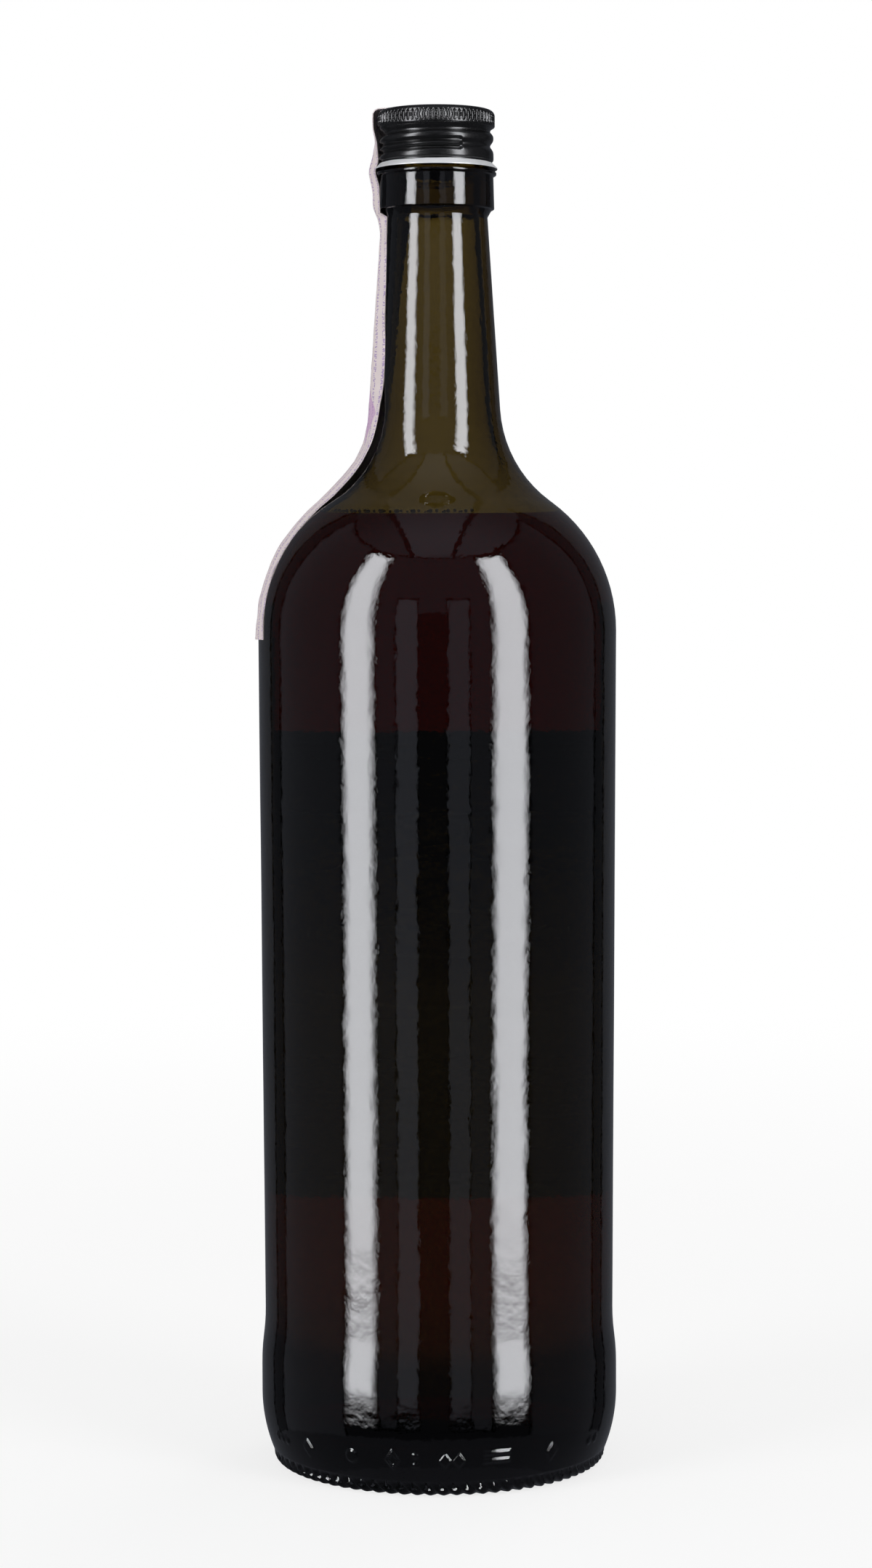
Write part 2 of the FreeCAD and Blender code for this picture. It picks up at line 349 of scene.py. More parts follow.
open_mesh(glass)
print("foot faces", pick_faces(glass, on_outer_foot))
bpy.ops.mesh.subdivide(number_cuts=1)
close_mesh()
shape(glass, toothed)
print(faces_of(glass))

# %% [markdown]
# Round the heel a bottle carries the mould's marks, raised by a third of a millimetre. Real ones
# are letters and figures. These are only plain dots, bars and lozenges, which spell nothing. Each is
# a patch of the glass itself, cut finer and lifted where a small drawing says, so that light
# meets one skin there and not a badge that is stuck on. A drawing gives the distance in from the
# nearest edge of its mark, in millimetres, and is less than zero outside it.

# %% Raise the heel marks
def disc(x, z, size):
    return size - math.hypot(x, z)


def bar(x, z, wide, high):
    return min(wide - abs(x), high - abs(z))


def lozenge(x, z, size):
    return size - abs(x) - 0.75 * abs(z)


heel_marks = [            # degrees round from the near side of the bottle, half width, drawing
    (-62, 3.6, lambda x, z: max(disc(x - 2.4 * k, z, 0.9) for k in (-1, 0, 1))),
    (-47, 2.2, lambda x, z: lozenge(x, z, 1.7)),
    (-29, 1.9, lambda x, z: disc(x, z, 1.5)),
    (-15, 2.9, lambda x, z: 0.4 - abs(lozenge(x, z, 1.4))),
    (-7.6, 1.1, lambda x, z: max(disc(x, z - 1.2, 0.65), disc(x, z + 1.2, 0.65))),
    (4, 3.1, lambda x, z: max(lozenge(x + 1.6, z, 1.4), lozenge(x - 1.6, z, 1.4))),
    (18.5, 3.9, lambda x, z: max(bar(x, z - 1.5, 3.2, 0.5), bar(x, z + 0.4, 3.2, 0.5))),
    (38.5, 2.2, lambda x, z: lozenge(x, z, 1.7)),
    (59, 2.7, lambda x, z: max(disc(x + 1.4, z, 0.9), disc(x - 1.4, z, 0.9))),
]
mark_z, mark_high, mark_r, mark_lift = 9.0, 3.1, 41.5, 0.32
marks_low, marks_top = 3.9, 13


def mark_place(co, degrees):
    """Place on the heel, in millimetres right of and above the middle of a mark."""
    round_by = math.degrees(math.atan2(co.x, -co.y)) - degrees
    return math.radians((round_by + 180) % 360 - 180) * mark_r, co.z / MM - mark_z


def on_heel(co):
    return marks_low < co.z / MM < marks_top and math.hypot(co.x, co.y) / MM > foot_r


def lies_on_mark(middle):
    if not on_heel(middle):
        return False
    for degrees, half, _ in heel_marks:
        x, z = mark_place(middle, degrees)
        if abs(x) < half + 0.5 and abs(z) < mark_high:
            return True
    return False


def raised(co):
    """Lifts a point that lies under a mark, with a slope round the mark's edge."""
    if not on_heel(co):
        return co
    for degrees, half, drawing in heel_marks:
        x, up = mark_place(co, degrees)
        if abs(x) < half + 0.6 and abs(up) < mark_high + 0.4:
            edge = min(max((drawing(x, up) + 0.35) / 0.75, 0), 1)
            lift = mark_lift * edge * edge * (3 - 2 * edge)
            return co + Vector((co.x, co.y, 0)).normalized() * lift * MM
    return co


open_mesh(glass)
print("faces under the marks", pick_faces(glass, lies_on_mark))
bpy.ops.mesh.subdivide(number_cuts=3, smoothness=1.0)
close_mesh()
shape(glass, raised)
smooth(glass, 50)
print(faces_of(glass))

# %% [markdown]
# ## The vermouth
# The drink is turned from the same inside line, but 0.15 mm fatter, so that it reaches just into
# the wall. Were it to stop short, a thin film of air would lie between the two and the bottle
# would look silvered. It is turned full to the neck, and then Bisect cuts it at the fill level,
# which is 1.6 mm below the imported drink's.

# %% Pour the vermouth
reach_in = 0.15
fill_drop, climb = 1.6, 0.4
fill_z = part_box("vermouth")[1][2] / MM - fill_drop
drink_line = [(r + reach_in, z, rounding, steps) for r, z, rounding, steps in bore[::-1]]
drink_line += floor_of(bore[0][0] + reach_in, -reach_in)
drink = turn(draw("red_drink", [(0, collar_z, 0, 1)] + drink_line), segments)
open_mesh(drink)
bpy.ops.mesh.select_all(action="SELECT")
bpy.ops.mesh.bisect(
    plane_co=(0, 0, (fill_z + climb) * MM), plane_no=(0, 0, 1), clear_outer=True, use_fill=True
)
print("cut at", round(fill_z + climb, 2), "mm")

# %% [markdown]
# At the wall a drink climbs a little and its surface sweeps down to the level: the meniscus,
# which shows as one bright line round the bottle. The cut face is inset ring by ring, each ring
# a little lower than the last.

# %% Let it climb the wall
rings = [(0.2, 0.12), (0.3, 0.1), (0.5, 0.08), (0.8, 0.06), (1.3, 0.04)]


def is_surface(middle):
    return middle.xy.length < MM and middle.z / MM > shoulder_z


for width, fall in rings:
    pick_faces(drink, is_surface)
    bpy.ops.mesh.inset(thickness=width * MM, depth=-fall * MM)
close_mesh()
print("the level is", round(fill_z + climb - sum(fall for _, fall in rings), 2), "mm")

# %% [markdown]
# A row of fine froth beads clings to the near wall, along the surface. Each is a small sphere that
# reaches a little into the wall, as the drink does, and stays clear of the drink below it.

# %% Add the froth beads
bead_count = 46
beads = []
for i in range(bead_count):
    size = 0.2 + 0.22 * abs(math.sin(i * 2.4))
    at = math.radians(-76 + 2.05 * i + 0.8 * math.sin(i * 1.7))
    z = fill_z + climb + size + 0.04 + 0.12 * (i % 4 == 1)
    wall_r = glass.ray_cast(Vector((0, 0, z * MM)), Vector((1, 0, 0)))[1].x / MM
    begin()
    bpy.ops.mesh.primitive_uv_sphere_add(segments=12, ring_count=7, radius=size * MM)
    bead = bpy.context.object
    r = wall_r - 0.6 * size
    bead.location = Vector((r * math.sin(at), -r * math.cos(at), z)) * MM
    beads.append(bead)
begin()
for bead in beads:
    bead.select_set(True)
bpy.ops.object.transform_apply(location=True, rotation=False, scale=False)
drink.select_set(True)
bpy.context.view_layer.objects.active = drink
bpy.ops.object.join()
smooth(drink, 60)
print(faces_of(drink))

# %% [markdown]
# ## The screw cap
# The cap is thin aluminium, pressed over the finish and rolled down on it. Its outline has a plain
# side, which is cut into fine rows for the ribs and the thread to come, and is then turned.

# %% Turn the cap
cap_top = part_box("screw_cap")[1][2] / MM
cap_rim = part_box("screw_cap")[0][2] / MM
cap_bore, ribs_r, side_r, rim_r = 12.45, 13.9, 13.6, 14.6
ribs_low = cap_top - 3.9
cap_line = [
    (0, cap_top, 0, 1), (ribs_r, cap_top, 1.4, 9), (ribs_r, ribs_low, 0.4, 3),
    (side_r, ribs_low - 0.3, 0.3, 2), (side_r, 309.75, 0.5, 4), (13.15, 309.2, 0.25, 3),
    (rim_r, cap_rim + 0.12, 0.1, 3), (rim_r - 0.1, cap_rim, 0.05, 2),
    (rim_r - 0.4, cap_rim + 0.03, 0, 1), (cap_bore, 309.6, 0.5, 3),
    (cap_bore, mouth_z, 0.2, 2), (0, mouth_z, 0, 1),
]
ribs = 70
cap = draw("screw_cap_shell", cap_line)
cut_up(cap, 0.28, lambda middle: middle.x / MM > 13 and 309 < middle.z / MM < cap_top - 1)
cap = turn(cap, ribs * 8)

# %% [markdown]
# The grip is a ring of seventy upright dents, each shaped like a grain of rice. The thread is
# one groove that a roller pressed in round the finish's own thread, climbing 3.45 mm in a turn.
# It fades out at both its ends, and on the near side its lower turn is split by a narrow island.

# %% Press the ribs and roll the thread
pitch = 3.45
rib_half_high, rib_half_wide, rib_deep = 1.38, 0.53, 0.36


def rib_dent(x, up):
    """How deep a dent is, at x from its middle and up from its waist, in millimetres."""
    half = rib_half_wide * (1 - (up / rib_half_high) ** 2)
    if half <= 0 or abs(x) >= half:
        return 0.0
    return rib_deep * (1 - (x / half) ** 2) ** 0.7 * min(half / 0.3, 1)


def fade(value, start, end):
    """Goes smoothly from 0 at start to 1 at end."""
    t = min(max((value - start) / (end - start), 0), 1)
    return t * t * (3 - 2 * t)


def thread_depth(degrees, z):
    """How deep the rolled groove is, at an angle round from the near side of the bottle."""
    top = 315.95 + pitch * degrees / 360 - 0.35 * math.sin(math.radians(degrees))
    depth = 0.8 * math.exp(-((z - top) / 0.75) ** 2) * fade(degrees, 130, 95)
    low = top - pitch
    one = 0.8 * math.exp(-((z - low) / 0.9) ** 2)
    two = 0.66 * max(math.exp(-((z - low - s * 0.86) / 0.52) ** 2) for s in (-1, 1))
    split = fade(degrees, 29, 24) * fade(degrees, -150, -110)
    return depth + (one + (two - one) * split) * fade(degrees, -178, -140)


def pressed(co):
    """Moves a point of the cap's side in by the depth of the dent or groove that it lies in."""
    r, z = co.xy.length / MM, co.z / MM
    if r < 13.05 or z < 309.5 or z > cap_top - 0.2:
        return co
    degrees = math.degrees(math.atan2(co.x, -co.y))
    across = (degrees / 360 * ribs % 1 - 0.5) * math.tau * ribs_r / ribs
    if z > ribs_low + 0.2:
        depth = rib_dent(across, z - (cap_top + ribs_low - 0.7) / 2)
    else:
        depth = thread_depth(degrees, z) * fade(z, 309.6, 310.2)
        depth *= fade(z, ribs_low + 0.2, ribs_low - 0.3)
    return co - Vector((co.x, co.y, 0)).normalized() * depth * MM


shape(cap, pressed)
smooth(cap, 40)
print(faces_of(cap))

# %% [markdown]
# ## The seal strip
# A band of thin paper is stuck down the shoulder and neck, and bridges the hollows under the
# collar and the cap before it folds over on the lid. It starts as a flat grid, one row for each
# millimetre of its length. A path along the side says where a row lies, and the grid's own
# width is kept, so the paper bends one way only, as paper does.

# %% The strip's path
paper_path = [            # distance from the axis and height of the paper's face, mm
    (43.35, 197.0), (42.75, 203), (41.85, 208.3), (38.9, 216.5), (35.2, 222.3), (31.1, 227),
    (27.5, 230.4), (22.9, 235.1), (19.5, 239.2), (17.6, 242.4), (16.9, 245), (16.2, 251),
    (15.4, 262), (14.3, 278), (13.45, 290), (13.35, 293.5), (13.95, 296.2), (14.85, 299),
    (15.05, 302), (15.5, 304.3), (16.0, 306.7), (15.9, 308.4), (15.3, 311), (14.75, 314.5),
    (14.85, 317), (15.2, 319.2), (15.15, 320.5), (14.6, 321.5), (13.4, 321.9), (10.5, 321.85),
    (6.5, 321.9),
]


def along_path(t):
    """A point of the smooth line through the path, t from 0 at its foot to 1 at its end."""
    place = t * (len(paper_path) - 1)
    i = min(int(place), len(paper_path) - 2)
    f = place - i
    a, b, c, d = (
        Vector(paper_path[min(max(i + k, 0), len(paper_path) - 1)]) for k in (-1, 0, 1, 2)
    )
    return 0.5 * (
        2 * b + (c - a) * f + (2 * a - 5 * b + 4 * c - d) * f * f + (3 * b - a - 3 * c + d) * f ** 3
    )


finest = [along_path(i / 4000) for i in range(4001)]
lengths = [0.0]
for a, b in zip(finest, finest[1:]):
    lengths.append(lengths[-1] + (b - a).length)
strip_long, strip_wide = lengths[-1], 13.5


def nearest_step(length):
    return min(range(len(finest)), key=lambda i: abs(lengths[i] - length))


rows = [finest[nearest_step(k)] for k in range(int(strip_long) + 1)]
print("the strip is", round(strip_long, 1), "mm long and", strip_wide, "mm wide")

# %% Lay the strip along it
fold_z, fold_r, fold_turn = 320.5, 15.15, 0.55
half_strip = strip_wide / 2
edge_path = [(14.75, 307.6), (14.0, 309.6), (14.3, 314), (15.0, 317), (fold_r, fold_z)]


def edge_r(z):
    """How far the strip's front edge is from the axis: on the glass, but off it where the
    paper bridges the root of the neck and the side of the cap."""
    if z < collar_z:
        on_glass = -glass.ray_cast(Vector((-60, 0, z)) * MM, Vector((1, 0, 0)))[1].x / MM
        return on_glass + 0.12 + 1.3 * fade(z, 224, 235) * fade(z, 262, 246)
    if z < edge_path[0][1]:
        return collar_r + 0.12 + (edge_path[0][0] - collar_r) * fade(z, 303, edge_path[0][1])
    for (r_a, z_a), (r_b, z_b) in zip(edge_path, edge_path[1:]):
        if z <= z_b:
            return r_a + (r_b - r_a) * (z - z_a) / (z_b - z_a)
    return fold_r


def middle_y(z):
    """The strip leans back as it goes up, a little more the higher it is."""
    up = z - 197
    return -5.35 + 0.04 * up + 0.00042 * up * up


def on_side(r, z, across):
    """A place on the strip whose middle stands at a distance from the axis, at a height."""
    y = middle_y(z) + across
    puffed = fade(half_strip - abs(across), 0, 4.5)
    r = edge_r(z) + (r - edge_r(z)) * puffed
    lift = 0.3 * noise.noise(Vector((z * 0.09, across * 0.11, 3.0))) * fade(abs(across), 1, 6.5)
    lift += 0.14 * noise.noise(Vector((z * 0.35, across * 0.2, 9.0)))
    r += max(lift, -0.1)
    return Vector((-math.sqrt(max(r * r - y * y, 0.01)), y, z))


def on_strip(row, across):
    """A place on the strip, which goes up the side and then folds over on the lid."""
    r, z = rows[row]
    if z < fold_z:
        return on_side(r, z, across)
    fold = on_side(fold_r, fold_z, across)
    inward = Vector((math.cos(fold_turn), -math.sin(fold_turn), 0))
    return fold + inward * (fold_r - r) + Vector((0, 0, z - fold_z))


begin()
bpy.ops.mesh.primitive_grid_add(
    x_subdivisions=15, y_subdivisions=len(rows) - 1, size=1, calc_uvs=True
)
strip = bpy.context.object
strip.name = strip.data.name = "paper_seal_strip"
for vertex in strip.data.vertices:
    x, y = vertex.co.x + 0.5, vertex.co.y + 0.5
    row = round(y * (len(rows) - 1))
    vertex.co = on_strip(row, (x - 0.5) * 2 * half_strip) * MM
open_mesh(strip)
bpy.ops.mesh.select_all(action="SELECT")
bpy.ops.mesh.normals_make_consistent(inside=False)
close_mesh()
facing = sum((p.normal.x < 0) - (p.normal.x > 0) for p in strip.data.polygons)
if facing < 0:
    strip.data.flip_normals()


def thicken(piece, thickness):
    """Gives a sheet its thickness, on the side away from its normals."""
    solidify = piece.modifiers.new("thickness", "SOLIDIFY")
    solidify.thickness = thickness * MM
    solidify.offset = -1
    begin()
    piece.select_set(True)
    bpy.context.view_layer.objects.active = piece
    bpy.ops.object.modifier_apply(modifier=solidify.name)


strip_thick = 0.22
thicken(strip, strip_thick)
smooth(strip, 50)
print(faces_of(strip))

# %% [markdown]
# ## The label
# The label wraps the far side of the body. It is a grid too, laid on the panel with its own
# width kept, and it wavers with the glass under it because it goes through the same function.
# Its corners are made round by pulling the outermost points in.

# %% Lay the label
label_low, label_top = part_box("label")[0][2] / MM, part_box("label")[1][2] / MM
label_wide, label_high, label_corner = 100.0, label_top - label_low, 3.0
label_thick, glue = 0.19, 0.03
begin()
bpy.ops.mesh.primitive_grid_add(x_subdivisions=120, y_subdivisions=100, size=1, calc_uvs=True)
label = bpy.context.object
label.name = label.data.name = "paper_label"


def round_corner(x, y):
    """Pulls a point of the flat label in from a square corner to a round one."""
    over_x = abs(x) - (label_wide / 2 - label_corner)
    over_y = abs(y) - (label_high / 2 - label_corner)
    if over_x > 0 and over_y > 0:
        scale = max(over_x, over_y) / math.hypot(over_x, over_y)
        x -= math.copysign(over_x * (1 - scale), x)
        y -= math.copysign(over_y * (1 - scale), y)
    return x, y


def panel_radius(z):
    return panel_r + (body_r - panel_r) * (z - panel_z) / (shoulder_z - panel_z)


for vertex in label.data.vertices:
    x, y = round_corner(vertex.co.x * label_wide, vertex.co.y * label_high)
    z = (label_low + label_top) / 2 + y
    r = panel_radius(z)
    at = -x / body_r
    on_glass = waver(Vector((r * math.sin(at), r * math.cos(at), z)) * MM)
    vertex.co = on_glass + Vector((math.sin(at), math.cos(at), 0)) * (glue + label_thick) * MM
if sum(p.normal.y for p in label.data.polygons) < 0:
    label.data.flip_normals()
thicken(label, label_thick)
smooth(label, 50)
print(faces_of(label))

# %% [markdown]
# ## Finishes
# A finish is a small network of nodes. Each of these helpers adds one node, sets what is plain
# on its sockets, and joins what comes from another node, so that a finish reads top to bottom.

# %% Helpers for finishes
class Finish:
    """A material being built: add() makes a node, and joins any input that is given a socket."""

    def __init__(self, name):
        self.material = bpy.data.materials.new(name)
        self.material.use_nodes = True
        self.tree = self.material.node_tree
        self.tree.nodes.clear()
        self.out = self.tree.nodes.new("ShaderNodeOutputMaterial")
        self.place = self.add("TexCoord").outputs["Object"]

    def add(self, kind, inputs=None, **settings):
        node = self.tree.nodes.new("ShaderNode" + kind)
        for key, value in settings.items():
            setattr(node, key, value)
        for key, value in (inputs or {}).items():
            if isinstance(value, bpy.types.NodeSocket):
                self.tree.links.new(value, node.inputs[key])
            else:
                node.inputs[key].default_value = value
        return node

    def math(self, operation, a, b=0.0, c=0.0):
        return self.add("Math", {0: a, 1: b, 2: c}, operation=operation).outputs[0]

    def step(self, value, start, end):
        """Goes smoothly from 0 at start to 1 at end, whichever of them is higher."""
        node = self.add("MapRange", {0: value, 1: start, 2: end, 3: 0.0, 4: 1.0})
        node.interpolation_type = "SMOOTHSTEP"
        return node.outputs[0]

    def mix(self, factor, a, b):
        node = self.add("Mix", data_type="RGBA")
        for socket, value in zip((node.inputs[0], node.inputs[6], node.inputs[7]), (factor, a, b)):
            if isinstance(value, bpy.types.NodeSocket):
                self.tree.links.new(value, socket)
            else:
                socket.default_value = value
        return node.outputs[2]

    def noise(self, scale, detail=2.0, rough=0.5, place=None):
        return self.add(
            "TexNoise",
            {"Vector": place or self.place, "Scale": scale, "Detail": detail, "Roughness": rough},
        ).outputs[0]

    def bump(self, height, strength, distance, under=None):
        inputs = {"Height": height, "Strength": strength, "Distance": distance}
        if under:
            inputs["Normal"] = under
        return self.add("Bump", inputs).outputs[0]

    def surface(self, socket):
        self.tree.links.new(socket, self.out.inputs["Surface"])

    def volume(self, per_mm):
        """Soaks up light: the parts of red, green and blue lost in each millimetre."""
        density = 1.02 * max(per_mm) / MM
        color = [1 - k / MM / density for k in per_mm] + [1.0]
        node = self.add("VolumeAbsorption", {"Color": color, "Density": density})
        self.tree.links.new(node.outputs[0], self.out.inputs["Volume"])

    def give(self, piece):
        piece.data.materials.clear()
        piece.data.materials.append(self.material)


# %% [markdown]
# Dark bottle glass has no colour on its surface. All its colour is in its depth, so the surface
# stays clear and the volume soaks up light, blue most and red least. Seen through one wall it
# is olive, and where two or three walls lie behind each other it is nearly black.

# %% Green glass
green_glass = Finish("dark_green_glass")
ripple = green_glass.noise(170, 3.0, 0.55)
up = green_glass.add("SeparateXYZ", {0: green_glass.place}).outputs[2]
rougher = green_glass.math("MULTIPLY_ADD", green_glass.step(up, 0.228, 0.242), 1.6, 1.0)
orange_peel = green_glass.math("MULTIPLY", green_glass.noise(620, 2.0, 0.5), rougher)
skin = green_glass.bump(ripple, 0.8, 0.00008)
skin = green_glass.bump(orange_peel, 0.7, 0.000022, skin)
green_glass.surface(green_glass.add("BsdfPrincipled", {
    "Base Color": (1, 1, 1, 1), "Roughness": 0.0, "IOR": 1.52,
    "Transmission Weight": 1.0, "Normal": skin,
}).outputs[0])
green_glass.volume((0.478, 0.542, 0.81))
green_glass.give(glass)

# %% [markdown]
# The vermouth is coloured in the same way, a red brown that only the brightest light gets
# through in this glass. What stands above its brim is the froth, which is paler and half opaque.

# %% Red vermouth
red_vermouth = Finish("red_vermouth")
height = red_vermouth.add("SeparateXYZ", {0: red_vermouth.place}).outputs[2]
brim = (fill_z + climb) * MM
clear = red_vermouth.add("BsdfPrincipled", {
    "Base Color": (1, 1, 1, 1), "Roughness": 0.0, "IOR": 1.36, "Transmission Weight": 1.0,
})
froth = red_vermouth.add("BsdfPrincipled", {"Base Color": (0.75, 0.66, 0.42, 1), "Roughness": 0.4})
red_vermouth.surface(red_vermouth.add("MixShader", {
    0: red_vermouth.math("MULTIPLY", red_vermouth.step(height, brim, brim + 0.00003), 0.6),
    1: clear.outputs[0], 2: froth.outputs[0],
}).outputs[0])
red_vermouth.volume((0.0218, 0.06, 0.075))
red_vermouth.give(drink)

# %% [markdown]
# The cap is lacquered black, satin rather than glossy, and its rolled edge is bare aluminium,
# because the lacquer ends where the sheet was trimmed. One metal sheet carries both, so one
# finish does too: height decides where the lacquer ends, with a slightly wandering edge.

# %% Black lacquer and bare edge
black_cap = Finish("satin_black_lacquer")
place = black_cap.add("SeparateXYZ", {0: black_cap.place}).outputs
height = place[2]
radius = black_cap.math("SQRT", black_cap.math(
    "MULTIPLY_ADD", place[0], place[0], black_cap.math("MULTIPLY", place[1], place[1])
))
# The inside of the flared rim takes the black finish too, which keeps it dark.
under_rim = black_cap.step(black_cap.math("ADD", radius, height), 0.32214, 0.32206)
wander = black_cap.math("MULTIPLY_ADD", black_cap.noise(260), 0.0003, -0.00015)
edge = black_cap.math(
    "MAXIMUM", black_cap.step(black_cap.math("ADD", height, wander), 0.30893, 0.30905), under_rim
)
grain = black_cap.noise(5200, 2.0, 0.6)
smudge = black_cap.noise(190, 4.0, 0.6)
lacquer_rough = black_cap.math("MULTIPLY_ADD", smudge, 0.1, 0.19)
lacquer = black_cap.add("BsdfPrincipled", {
    "Base Color": black_cap.mix(smudge, (0.002, 0.002, 0.0021, 1), (0.004, 0.0038, 0.0036, 1)),
    "Roughness": lacquer_rough, "IOR": 1.5,
    "Normal": black_cap.bump(grain, 0.2, 0.00001),
})
stretched = black_cap.add("Mapping", {"Vector": black_cap.place, "Scale": (60, 60, 9000)}).outputs[0]
turned_lines = black_cap.add("TexNoise", {"Vector": stretched, "Scale": 1.0}).outputs[0]
bare = black_cap.add("BsdfPrincipled", {
    "Base Color": (0.84, 0.85, 0.86, 1), "Metallic": 0.5,
    "Roughness": black_cap.math("MULTIPLY_ADD", turned_lines, 0.15, 0.3),
    "Normal": black_cap.bump(turned_lines, 0.15, 0.00002),
})
both = black_cap.add("MixShader", {0: edge, 1: bare.outputs[0], 2: lacquer.outputs[0]})
black_cap.surface(both.outputs[0])
black_cap.give(cap)

# %% [markdown]
# The strip's paper is thin and greyish pink. Its print is left generic: rows of fine lilac
# dashes along it, and one small woven ornament, all laid out on the paper's own map.

# %% Strip paper
def uv_of(finish):
    return finish.add("SeparateXYZ", {0: finish.add("TexCoord").outputs["UV"]})


strip_paper = Finish("seal_strip_paper")
uv = uv_of(strip_paper)
u, v = uv.outputs[0], uv.outputs[1]
u_mm = strip_paper.math("MULTIPLY", u, strip_wide)
v_mm = strip_paper.math("MULTIPLY", v, strip_long)
flat = strip_paper.add("CombineXYZ", {0: u_mm, 1: v_mm}).outputs[0]
fibres = strip_paper.noise(2.2, 4.0, 0.7, flat)
blotch = strip_paper.noise(0.16, 2.0, 0.5, flat)
paper = strip_paper.mix(blotch, (0.60, 0.52, 0.52, 1), (0.74, 0.66, 0.655, 1))
narrowed = strip_paper.add("CombineXYZ", {0: strip_paper.math("MULTIPLY", u_mm, 0.5), 1: v_mm})
dashes = strip_paper.noise(2.6, 0.0, 0.5, narrowed.outputs[0])
rows_of = strip_paper.math("PINGPONG", strip_paper.math("SUBTRACT", u_mm, 0.5), 1.3)
in_row = strip_paper.step(rows_of, 0.52, 0.38)
dash = strip_paper.math("MULTIPLY", in_row, strip_paper.step(dashes, 0.5, 0.56))
dashed = strip_paper.mix(strip_paper.math("MULTIPLY", dash, 0.8), paper, (0.27, 0.17, 0.42, 1))


def threads(direction):
    """Fine slanted waves, which rise to the right for ADD and to the left for SUBTRACT."""
    slanted = strip_paper.math(direction, u_mm, v_mm)
    return strip_paper.math("SINE", strip_paper.math("MULTIPLY", slanted, 4.5))


crossed = strip_paper.math("MULTIPLY", threads("ADD"), threads("SUBTRACT"))
weave = strip_paper.step(strip_paper.math("ABSOLUTE", crossed), 0.05, 0.4)
ornament_at = 61.7
from_middle = strip_paper.math("ABSOLUTE", strip_paper.math("SUBTRACT", v_mm, ornament_at))
beside = strip_paper.math("ABSOLUTE", strip_paper.math("SUBTRACT", u_mm, strip_wide / 2))
diamond = strip_paper.math("ADD", strip_paper.math("MULTIPLY", from_middle, 0.8), beside)
ornament = strip_paper.step(diamond, 5.9, 5.6)
inked = strip_paper.math("MULTIPLY", ornament, strip_paper.math("MULTIPLY_ADD", weave, -0.45, 0.85))
printed = strip_paper.mix(inked, dashed, (0.43, 0.20, 0.47, 1))
strip_paper.surface(strip_paper.add("BsdfPrincipled", {
    "Base Color": printed, "Roughness": 0.62, "IOR": 1.45,
    "Normal": strip_paper.bump(fibres, 0.3, 0.00004),
}).outputs[0])
strip_paper.give(strip)

# %% [markdown]
# The label faces away from the camera and shows only as a darker field through the glass. It has
# a plain wine label's look with no words: a cream sheet, a dark red field with a thin gilt line,
# an oval, and a few bars where text would be.

# %% Label paper
label_paper = Finish("label_paper")
uv = uv_of(label_paper)
x_mm = label_paper.math("MULTIPLY", label_paper.math("SUBTRACT", uv.outputs[0], 0.5), label_wide)
y_mm = label_paper.math("MULTIPLY", label_paper.math("SUBTRACT", uv.outputs[1], 0.5), label_high)
x_off = label_paper.math("ABSOLUTE", x_mm)
sheet_map = label_paper.add("CombineXYZ", {0: x_mm, 1: y_mm}).outputs[0]
fibres = label_paper.noise(1.6, 5.0, 0.7, sheet_map)
tone = label_paper.noise(0.05, 3.0, 0.6, sheet_map)
cream = label_paper.mix(tone, (0.74, 0.69, 0.56, 1), (0.82, 0.78, 0.67, 1))
gilt, dark_red = (0.50, 0.34, 0.12, 1), (0.17, 0.012, 0.016, 1)


def inside_box(middle, half_wide, half_high):
    """1 inside a box on the label, 0 outside it."""
    over = label_paper.math("SUBTRACT", x_off, half_wide)
    from_middle = label_paper.math("ABSOLUTE", label_paper.math("SUBTRACT", y_mm, middle))
    up = label_paper.math("SUBTRACT", from_middle, half_high)
    return label_paper.step(label_paper.math("MAXIMUM", over, up), 0.05, -0.05)


def inside_oval(half_wide, half_high, middle=8.0):
    """1 inside an oval on the label, 0 outside it."""
    across = label_paper.math("DIVIDE", x_mm, half_wide)
    up = label_paper.math("DIVIDE", label_paper.math("SUBTRACT", y_mm, middle), half_high)
    squared = label_paper.math("MULTIPLY_ADD", across, across, label_paper.math("MULTIPLY", up, up))
    return label_paper.step(label_paper.math("SQRT", squared), 1.005, 0.995)


look = cream
for where, ink in (
    (inside_box(0, 46.5, 53.8), gilt), (inside_box(0, 46.0, 53.3), cream),
    (inside_box(44, 43.5, 6.5), dark_red), (inside_box(36.3, 43.5, 0.4), gilt),
    (inside_oval(29, 22), gilt), (inside_oval(28.3, 21.3), dark_red),
    (inside_oval(25.6, 18.6), gilt), (inside_oval(25.2, 18.2), dark_red),
    (inside_box(8, 15, 1.6), cream),
    (inside_box(2.5, 9, 0.6), gilt), (inside_box(13.5, 9, 0.6), gilt),
    (inside_box(-24, 30, 1.3), dark_red), (inside_box(-30, 22, 0.55), gilt),
    (inside_box(-34, 26, 0.55), gilt), (inside_box(-38, 18, 0.55), gilt),
    (inside_box(-48, 43.5, 3.2), dark_red),
):
    look = label_paper.mix(where, look, ink)
label_paper.surface(label_paper.add("BsdfPrincipled", {
    "Base Color": look, "Roughness": 0.55, "IOR": 1.48,
    "Normal": label_paper.bump(fibres, 0.35, 0.00005),
}).outputs[0])
label_paper.give(label)

# %% [markdown]
# ## Fit the pieces to the frame
# Each piece rides on the bottle's one body and stands for the imported node that it replaces,
# which is hidden.

# %% Replace the imported nodes
for piece, node, slot in (
    (glass, "bottle", "green_glass"), (drink, "vermouth", "red_vermouth"),
    (cap, "screw_cap", "black_cap"), (strip, "seal_strip", "strip_paper"),
    (label, "label", "label_paper"),
):
    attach(piece, "root")
    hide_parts(node)
    print(piece.name, "stands for", node)
